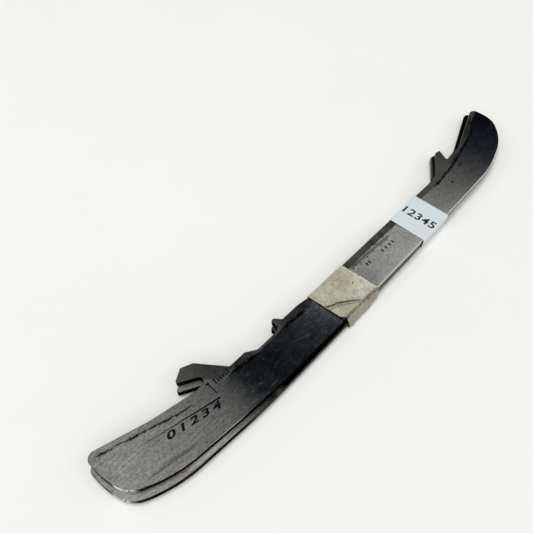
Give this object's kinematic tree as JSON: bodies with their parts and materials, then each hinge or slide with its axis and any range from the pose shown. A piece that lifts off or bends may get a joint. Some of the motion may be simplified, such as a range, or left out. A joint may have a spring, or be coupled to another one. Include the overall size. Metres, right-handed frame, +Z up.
{
  "type": "hockey skate runner",
  "caption": "Flat steel ice hockey skate runners, stacked and bound with tape, each with a front hook slot and a rear catch prong for a quick-release holder, with a paper stock label.",
  "frame": {"origin": "middle of the taped stack's outline, at table height under the tape", "axes": "+X from toe to heel, +Y from the ice edge to the boot edge, +Z up through the stack"},
  "size_m": [0.2816, 0.038, 0.0072],
  "materials": {
    "steel": "brushed, dull and stained along the boot edge",
    "tape": "matt, dirty off-white",
    "label": "smooth white"
  },
  "bodies": {
    "root": {"upper_runner": "steel", "lower_runner": "steel", "tape_band": "tape", "stock_label": "label"}
  },
  "joints": []
}
